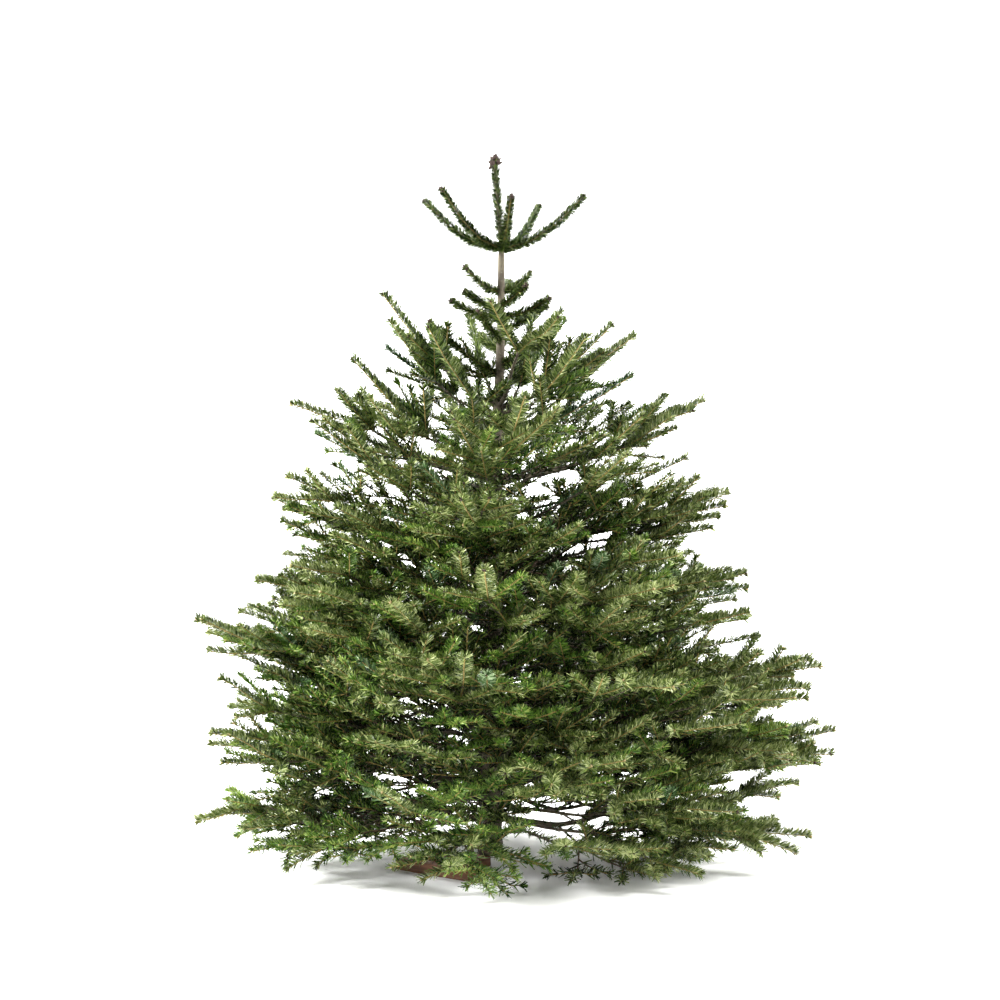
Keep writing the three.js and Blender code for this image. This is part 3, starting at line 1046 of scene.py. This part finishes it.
class Needles:
    """Each needle's shoot, its comb on that shoot, its tooth in that comb and how far along it stands."""

    def __init__(self, wood, settings, random):
        combs = np.ceil(needle_crowding(wood) * wood.length / settings.spacing).astype(int)
        count = combs * COMB + np.where(wood.age == 0, settings.at_tip, 0)
        self.shoot = np.repeat(np.arange(len(count)), count)
        self.total = len(self.shoot)
        place = np.arange(self.total) - np.repeat(np.cumsum(count) - count, count)
        self.comb, self.tooth = place // COMB, place % COMB
        self.at_tip = place >= (combs * COMB)[self.shoot]
        self.is_round = wood.is_round[self.shoot]
        self.outer = np.interp(wood.depth, [0.0, OUTER_DEPTH], [1.0, 0.0])[self.shoot]
        along = (self.comb + 0.5 + random.normal(0, 0.13, self.total)) / combs[self.shoot]
        self.along = np.where(self.at_tip, random.uniform(0.94, 1.0, self.total), along)

    def turns(self, wood, random):
        """Radians round the shoot from straight up: combed to both sides, or all round a single shoot."""
        sunny = np.interp(wood.depth, [0.0, 0.12], [0.78, 1.0])[self.shoot]
        hand = np.where(self.comb // 2 % 2, -1, 1)
        combed = TEETH[self.comb % 2, self.tooth] * hand * sunny + random.normal(0, 0.09, self.total)
        spiral = self.tooth * 2 * math.pi / COMB + self.comb * 0.55 + random.normal(0, 0.15, self.total)
        turn = np.where(self.is_round, spiral, combed)
        return np.where(self.at_tip, random.uniform(0, 2 * math.pi, self.total), turn)

    def leans(self, turn, random):
        """Radians from the shoot's heading to each needle's own."""
        combed = 0.74 + 0.14 * np.abs(np.sin(turn)) - 0.08 * self.along**3
        combed = combed + random.normal(0, 0.05, self.total) + 0.25 * self.outer
        single = 1.05 - 0.15 * self.along + random.normal(0, 0.07, self.total)
        lean = np.where(self.is_round, single, combed)
        return np.where(self.at_tip, random.uniform(0.25, 0.95, self.total), lean)

    def lengths(self, settings, random):
        """Longest at a shoot's middle. Inside the crown a comb's needles differ, and outside they don't."""
        profile = 0.74 + 0.26 * np.sin(math.pi * np.clip(self.along * 0.8 + 0.12, 0, 1)) ** 0.8
        longest = np.where(self.is_round, settings.top_length, settings.length)
        share = TOOTH_LENGTHS[self.comb % 2, self.tooth]
        share = np.where(self.is_round | self.at_tip, 1.0, share + (1 - share) * self.outer)
        length = longest * profile * random.normal(1, 0.05, self.total) * share
        return np.where(self.at_tip, longest * random.uniform(0.5, 0.72, self.total), length)

    def widths(self, wood, settings, random):
        """Wider deep in the crown, where fewer needles have to close it."""
        width = settings.width * random.normal(1, 0.06, self.total)
        width *= np.interp(wood.depth, [-0.02, 0.08, 0.1, 0.35], [1.05, 1.0, 1.0, 1.6])[self.shoot]
        return width * np.where(self.is_round, 0.82, 1.0)


def needle_places(wood, settings, rule):
    """Where each needle stands, its turn and size, and where on which shoot that is."""
    random = draws(rule, "needles")
    needles = Needles(wood, settings, random)
    places, ways = wood.at(needles.shoot, needles.along)
    across = unit(np.cross(ways, NEARLY_UP))
    over = np.cross(across, ways)
    turn = needles.turns(wood, random)
    lean = needles.leans(turn, random)
    radial = over * np.cos(turn)[:, None] + across * np.sin(turn)[:, None]
    swept = np.where(needles.is_round | needles.at_tip, 0.0, 0.1)[:, None]
    aim = unit(ways * np.cos(lean)[:, None] + radial * np.sin(lean)[:, None] + over * swept)
    length = needles.lengths(settings, random)
    face = over + radial * 0.6
    face = unit(face - aim * (face * aim).sum(1, keepdims=True))
    roll = random.normal(0, 0.85, needles.total)[:, None]
    face = face * np.cos(roll) + np.cross(aim, face) * np.sin(roll)
    width = needles.widths(wood, settings, random)
    places = places + radial * 0.0008
    clear = (places + aim * length[:, None])[:, 2] > NEEDLE_CLEARANCE
    turned = quaternions(np.cross(aim, face), aim, face)
    sizes = np.stack([width, length, width], 1)
    return places[clear], turned[clear], sizes[clear], needles.shoot[clear], needles.along[clear]


def needle_shape(name, fine):
    """One needle, a unit long and wide, twisted, with a blunt tip. A fine one is bent and has a thin foot."""
    twist = NEEDLE_TWIST if fine else NEEDLE_TWIST * 0.8
    across, over = 0.24 * math.cos(twist), 0.24 * math.sin(twist)
    if fine:
        tip = [(across, 1, over - 0.4), (-across, 1, -over - 0.4)]
        points = [(0, 0, 0), (0.52, 0.3, 0.2), (-0.52, 0.3, 0.2)] + tip
        faces = [(0, 1, 2), (2, 1, 3, 4)]
    else:
        points = [(0.5, 0, 0), (across, 1, over), (-across, 1, -over), (-0.5, 0, 0)]
        faces = [(0, 1, 2, 3)]
    mesh = bpy.data.meshes.new(name)
    mesh.from_pydata(points, [], faces)
    return add_object(name, mesh)


def needle_pieces(masses):
    """The pieces that the needles are joined into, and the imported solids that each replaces."""
    tops = ["leader_foliage"] + single_shoots()
    pieces = {"needles_top": tops + [name for name in masses if tier_of(name) == 1]}
    for tier in sorted({tier_of(name) for name in masses} - {1}):
        names = [name for name in masses if tier_of(name) == tier]
        parts = TIER_PIECES.get(tier, 1)
        for part in range(parts):
            own = names[part * len(names) // parts : (part + 1) * len(names) // parts]
            pieces[f"needles_{tier}_{part + 1}" if parts > 1 else f"needles_{tier}"] = own
    return pieces


def bud_shape():
    """One winter bud, a unit long: a four-sided, pointed ovoid."""
    sides, half, widest = 4, 0.32, 0.42
    around = [(math.cos(a), math.sin(a)) for a in np.arange(sides) * math.pi / 2]
    points = [(0, -0.05, 0)] + [(x * half, widest, y * half) for x, y in around] + [(0, 1, 0)]
    faces = []
    for side in range(sides):
        after = (side + 1) % sides
        faces += [(0, 1 + side, 1 + after), (1 + side, 5, 1 + after)]
    mesh = bpy.data.meshes.new("bud")
    mesh.from_pydata(points, [], faces)
    mesh.polygons.foreach_set("use_smooth", [True] * len(faces))
    return add_object("bud", mesh)


def scattered(graph, inputs, shape, chosen=None):
    """Instances of a shape on the points chosen, which say how each is turned and sized."""
    geometry = graph.node("GeometryNodeObjectInfo", {}, {"Object": inputs[shape]}, "Geometry")
    size = graph.node(
        "ShaderNodeVectorMath",
        {"operation": "SCALE"},
        {"Vector": attribute(graph, "size", "FLOAT_VECTOR"), "Scale": inputs["Scale"]},
    )
    sockets = {
        "Points": inputs["Geometry"],
        "Instance": geometry,
        "Rotation": attribute(graph, "turn", "QUATERNION"),
        "Scale": size,
    }
    if chosen:
        sockets["Selection"] = chosen
    return graph.node("GeometryNodeInstanceOnPoints", {}, sockets)


def needle_tree(materials):
    shapes = [("Fine", "NodeSocketObject", None), ("Plain", "NodeSocketObject", None)]
    graph, inputs = geometry_tree("Needles", [*shapes, ("Scale", "NodeSocketFloat", 1.0)])
    fine = attribute(graph, "fine", "INT")
    joined = graph.tree.nodes.new("GeometryNodeJoinGeometry")
    for shape, chosen in (("Fine", fine.equals(1)), ("Plain", fine.equals(0))):
        graph.tree.links.new(scattered(graph, inputs, shape, chosen).socket, joined.inputs[0])
    close_tree(graph, Value(graph, joined.outputs[0]), materials, "tint")
    return graph.tree


def bud_tree(materials):
    wanted = [("Bud", "NodeSocketObject", None), ("Scale", "NodeSocketFloat", 1.0)]
    graph, inputs = geometry_tree("Buds", wanted)
    close_tree(graph, scattered(graph, inputs, "Bud"), materials, "tint")
    return graph.tree


def bud_places(wood, rule):
    """Clusters of buds at the ends of the last season's shoots, brown ones mostly high up, partly the buds'
    own brown and partly painted shade of tips seen against the light.
    """
    random = draws(rule, "buds")
    tips = np.nonzero(wood.age == 0)[0]
    leader = int(wood.points[:, -1, 2].argmax())
    count = np.where(wood.depth[tips] < OUTER_DEPTH, CLUSTERS["outer"], CLUSTERS["deep"])
    count = np.where(wood.order[tips] == 0, CLUSTERS["bough"], count)
    count = np.where(wood.is_round[tips], CLUSTERS["single"], count)
    count[tips == leader] = CLUSTERS["leader"]
    shoot = np.repeat(tips, count)
    place, way = wood.points[shoot, -1], wood.ways[shoot, -1]
    spread = random.normal(0, 0.5, (len(shoot), 3)) * np.where(wood.is_round[shoot], 1.9, 1)[:, None]
    first = np.concatenate([[0], np.cumsum(count)[:-1]])
    spread[first] = 0
    aim = unit(way + spread)
    face = unit(np.cross(aim, unit(random.normal(0, 1, (len(shoot), 3)))))
    size = random.uniform(*SMALL_BUD, len(shoot)) * np.where(wood.order[shoot] <= 1, 1.1, 0.9)
    size *= np.interp(wood.depth[shoot], [0.0, 0.06], [1.4, 1.0])
    size = np.where(wood.is_round[shoot], random.uniform(*SINGLE_BUD, len(shoot)), size)
    size = np.where(shoot == leader, random.uniform(*LEADER_BUD, len(shoot)), size)
    turns = quaternions(np.cross(aim, face), aim, face)
    # painted shade in part: buds high up are more often dark brown
    brown = random.random(len(wood.age)) < np.interp(wood.points[:, -1, 2], [0.5, 1.2], [0.25, 1.0])
    return place - way * 0.0015, turns, np.stack([size, size, size], 1), brown[shoot]


def cross_arms():
    """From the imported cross: the middle of each arm's end, in turn, and an arm's width and thickness."""
    corners = corners_of("stand")
    thickness = corners[:, 2].max()
    away = np.linalg.norm(corners[:, :2], axis=1)
    rim = corners[(away > away.max() - 1e-3) & (corners[:, 2] > thickness - 1e-4)]
    rim = rim[np.argsort(np.arctan2(rim[:, 1], rim[:, 0]))]
    first, second = np.roll(rim, -1, 0)[::2], np.roll(rim, -1, 0)[1::2]
    ends = (first + second) / 2 * (1 - UP)
    return ends, float(np.linalg.norm(first - second, axis=1).mean()), float(thickness)


def plank_shell(start, end, width, thickness, random):
    """A sawn plank with eased edges: vertices, faces, and each vertex's place along and round its grain."""
    way = unit(end - start)
    across = np.cross(UP, way)
    length, ease = float(np.linalg.norm(end - start)), PLANK_EASE
    inner = np.linspace(ease, length - ease, max(3, round(length / 0.03)))
    stations = np.concatenate([[0], inner, [length]])
    vertices, grain = [], []
    for index, station in enumerate(stations):
        inset = ease if index in (0, len(stations) - 1) else random.normal(0, 0.00018)
        half, low, high = width / 2 - inset, max(inset, 0), thickness - inset
        side = [half, half, half - ease, ease - half, -half, -half, ease - half, half - ease]
        up = [low + ease, high - ease, high, high, high - ease, low + ease, low, low]
        for out, lift in zip(side, up):
            vertices.append(start + way * station + across * out + UP * lift)
            grain.append((station, out + lift))
    faces = []
    for ring in range(len(stations) - 1):
        for side in range(8):
            low, after = ring * 8, (side + 1) % 8
            faces.append([low + side, low + after, low + 8 + after, low + 8 + side])
    last = (len(stations) - 1) * 8
    faces += [list(range(7, -1, -1)), list(range(last, last + 8))]
    return np.array(vertices), faces, np.array(grain)


def cross_mesh(rule):
    """The cross: one plank right through, and two halves lapped against it."""
    random = draws(rule, "cross")
    ends, width, thickness = cross_arms()
    joint = (width / 2 + 0.0006) / np.linalg.norm(ends[0])
    runs = [(ends[1], ends[3]), (ends[0], ends[0] * joint), (ends[2], ends[2] * joint)]
    planks = [plank_shell(start, end, width, thickness, random) for start, end in runs]
    mesh = join_shells("wooden_cross", [(vertices, faces) for vertices, faces, _ in planks], smooth=False)
    grain = np.concatenate([place + [0, 0.4 * index] for index, (_, _, place) in enumerate(planks)])
    corner = np.empty(len(mesh.loops), np.int32)
    mesh.loops.foreach_get("vertex_index", corner)
    mesh.uv_layers.new(name="grain").data.foreach_set("uv", grain[corner].astype(np.float32).ravel())
    return mesh


def nail_mesh():
    """Two nail heads on each arm, beside the trunk."""
    ends, width, thickness = cross_arms()
    shells = []
    for end in ends:
        way = unit(end)
        for side in (-0.2, 0.2):
            middle = way * NAIL_OUT + np.cross(UP, way) * side * width
            centres = middle + UP * (NAIL_LIFTS + thickness)[:, None]
            shells.append(tube(centres, NAIL_RADII, 12))
    return join_shells("nail_heads", shells)


# ---------------------------------------------------------------- studio


def look_along(aim):
    """The rotation of a camera or lamp that looks along aim, level with the horizon."""
    x, y, z = (float(v) for v in aim)
    return (math.atan2(math.hypot(x, y), -z), 0.0, math.atan2(-x, y))


def studio_floor():
    """A floor that bends up into a backdrop."""
    half, bend, back, top = 9, 1.4, 3.2, 7
    angles = np.linspace(0, math.pi / 2, 17)
    profile = [(back + bend * math.sin(angle), bend - bend * math.cos(angle)) for angle in angles]
    points = [(x, y, z) for y, z in [(-half, 0), *profile, (back + bend, top)] for x in (-half, half)]
    faces = [(2 * i, 2 * i + 1, 2 * i + 3, 2 * i + 2) for i in range(len(points) // 2 - 1)]
    mesh = bpy.data.meshes.new("studio_floor")
    mesh.from_pydata(points, [], faces)
    mesh.polygons.foreach_set("use_smooth", [True] * len(faces))
    floor = add_object("studio_floor", mesh)
    mesh.materials.append(plain_shader("studio_paper", srgb(244, 244, 243), 0.9))
    return floor


def studio_sky(strength):
    """Even white light from all round."""
    world = bpy.data.worlds.new("studio_light")
    world.use_nodes = True
    graph = Graph(world.node_tree)
    light = graph.node("ShaderNodeBackground", {}, {"Color": (1, 1, 1, 1), "Strength": strength})
    graph.node("ShaderNodeOutputWorld", {}, {"Surface": light})
    return world


def studio_lamps(studio):
    """Two lamps at the tree's sides, one above the camera and two on the backdrop."""
    for name, energy, size, place, target in (
        ("key_lamp", studio.key, 2.0, (-5.0, -1.1, 3.3), (0, 0, 0.6)),
        ("fill_lamp", studio.fill, 2.0, (5.0, -1.0, 2.8), (0, 0, 0.7)),
        ("front_lamp", studio.front, 2.4, (0.3, -4.4, 4.2), (0, 0, 0.7)),
        ("left_backdrop_lamp", studio.backdrop, 1.5, (-2.6, 1.6, 3.2), (-0.9, 4.6, 1.4)),
        ("right_backdrop_lamp", studio.backdrop, 1.5, (2.6, 1.6, 3.2), (0.9, 4.6, 1.4)),
    ):
        lamp = bpy.data.lights.new(name, "AREA")
        lamp.energy, lamp.size = energy, size
        holder = add_object(name, lamp)
        holder.location = place
        holder.rotation_euler = look_along(np.array(target) - np.array(place))


def studio_camera(studio):
    """A camera in front of the tree that sees the view's width at the trunk."""
    camera = bpy.data.cameras.new("camera")
    camera.sensor_width = 36.0
    holder = add_object("camera", camera)
    place = np.array([studio.aim_right, -studio.distance, studio.height])
    aim = np.array([studio.aim_right, 0.0, studio.aim_height]) - place
    holder.location = place
    holder.rotation_euler = look_along(aim)
    camera.lens = camera.sensor_width * float(np.linalg.norm(aim)) / studio.view_width
    return holder


# ---------------------------------------------------------------- operators


class FIR_OT_bark(Operator):
    """Make the bark of the trunk and of every bough"""

    bl_idname = "fir.bark"
    bl_label = "Bark"

    def execute(self, context):
        scene = context.scene
        stem, wood, lines = grow_tree(scene.fir_growth)
        bark = bark_shader(scene.fir_wood)
        trunk = add_object("trunk_bark", trunk_mesh(stem, lines, scene.fir_growth))
        boughs = add_object("bough_bark", bough_mesh(stem, wood, scene.fir_growth, len(lines)))
        for piece in (trunk, boughs):
            piece.data.materials.append(bark)
        finish_piece(trunk, "bark", "trunk")
        finish_piece(boughs, "bark", *nodes_like("bough_"))
        return {"FINISHED"}


class FIR_OT_twigs(Operator):
    """Make every twig that carries needles"""

    bl_idname = "fir.twigs"
    bl_label = "Twigs"

    def execute(self, context):
        scene = context.scene
        _, wood, _ = grow_tree(scene.fir_growth)
        colours = scene.fir_wood
        young = plain_shader("young_twig", colours.young_twig, 0.7)
        old = plain_shader("old_twig", colours.old_twig, 0.85)
        twigs = add_object("twigs", twig_mesh(wood, colours, [young, old]))
        finish_piece(twigs, "bark")
        return {"FINISHED"}


class FIR_OT_needles(Operator):
    """Set the needles on every shoot, one piece for each tier of the crown"""

    bl_idname = "fir.needles"
    bl_label = "Needles"

    def execute(self, context):
        scene = context.scene
        _, wood, _ = grow_tree(scene.fir_growth)
        materials = needle_materials(scene.fir_needles)
        places, turns, sizes, shoot, along = needle_places(wood, scene.fir_needles, scene.fir_growth)
        tints = needle_tints(wood, shoot, along, scene.fir_growth)
        fine = ((wood.age == 0) & (wood.depth < OUTER_DEPTH))[shoot]
        shapes = {"Fine": needle_shape("fine_needle", True), "Plain": needle_shape("plain_needle", False)}
        tree = needle_tree(materials)
        for title, homes in needle_pieces(nodes_like("foliage_")).items():
            own = np.isin(wood.home, homes)[shoot]
            source = loose_mesh(
                "needle_points",
                places[own],
                turn=("q", turns[own]),
                size=("v", sizes[own]),
                tint=("i", tints[own]),
                fine=("i", fine[own]),
            )
            piece = add_object(title, grown_mesh(title, source, tree, {**shapes, "Scale": 1.0}))
            finish_piece(piece, "needles", *homes)
        for shape in shapes.values():
            bpy.data.objects.remove(shape)
        return {"FINISHED"}


class FIR_OT_buds(Operator):
    """Set clusters of buds at the tips of the last season's shoots"""

    bl_idname = "fir.buds"
    bl_label = "Buds"

    def execute(self, context):
        scene = context.scene
        _, wood, _ = grow_tree(scene.fir_growth)
        places, turns, sizes, brown = bud_places(wood, scene.fir_growth)
        shape = bud_shape()
        colours = scene.fir_wood
        pale = plain_shader("pale_bud", colours.bud, 0.45)
        dark = plain_shader("brown_bud", colours.dark_bud, 0.8)
        tree = bud_tree([pale, dark])
        source = loose_mesh("bud_points", places, turn=("q", turns), size=("v", sizes), tint=("i", brown))
        buds = add_object("buds", grown_mesh("buds", source, tree, {"Bud": shape, "Scale": 1.0}))
        finish_piece(buds, "bark")
        bpy.data.objects.remove(shape)
        return {"FINISHED"}


class FIR_OT_stand(Operator):
    """Make the wooden cross and its nails"""

    bl_idname = "fir.stand"
    bl_label = "Stand"

    def execute(self, context):
        scene = context.scene
        cross = add_object("wooden_cross", cross_mesh(scene.fir_growth))
        cross.data.materials.append(plank_shader(scene.fir_stand))
        finish_piece(cross, "stand_wood", "stand")
        nails = add_object("nail_heads", nail_mesh())
        nails.data.materials.append(nail_shader(scene.fir_stand))
        finish_piece(nails, "stand_wood")
        return {"FINISHED"}


class FIR_OT_studio(Operator):
    """Make the floor, the backdrop, the lamps and the camera"""

    bl_idname = "fir.studio"
    bl_label = "Studio"

    def execute(self, context):
        scene, studio = context.scene, context.scene.fir_studio
        floor = studio_floor()
        scene.world = studio_sky(studio.sky)
        studio_lamps(studio)
        scene.camera = studio_camera(studio)
        scene.view_settings.view_transform = "Standard"
        return {"FINISHED"}


class FIR_PT_panel(Panel):
    bl_label = "Fir"
    bl_idname = "FIR_PT_panel"
    bl_space_type = "VIEW_3D"
    bl_region_type = "UI"
    bl_category = "Fir"

    def draw(self, context):
        for operator in OPERATORS:
            self.layout.operator(operator.bl_idname)


SETTINGS = {
    "fir_growth": GrowthSettings,
    "fir_needles": NeedleSettings,
    "fir_wood": WoodSettings,
    "fir_stand": StandSettings,
    "fir_studio": StudioSettings,
}
OPERATORS = (FIR_OT_bark, FIR_OT_twigs, FIR_OT_needles, FIR_OT_buds, FIR_OT_stand, FIR_OT_studio)


def register():
    for name, group in SETTINGS.items():
        bpy.utils.register_class(group)
        setattr(bpy.types.Scene, name, PointerProperty(type=group))
    for kind in (*OPERATORS, FIR_PT_panel):
        bpy.utils.register_class(kind)


def unregister():
    for kind in reversed((*OPERATORS, FIR_PT_panel)):
        bpy.utils.unregister_class(kind)
    for name, group in reversed(SETTINGS.items()):
        delattr(bpy.types.Scene, name)
        bpy.utils.unregister_class(group)


def main():
    register()
    bpy.ops.fir.bark()
    bpy.ops.fir.twigs()
    bpy.ops.fir.needles()
    bpy.ops.fir.buds()
    bpy.ops.fir.stand()
    bpy.ops.fir.studio()


if __name__ == "__main__":
    main()
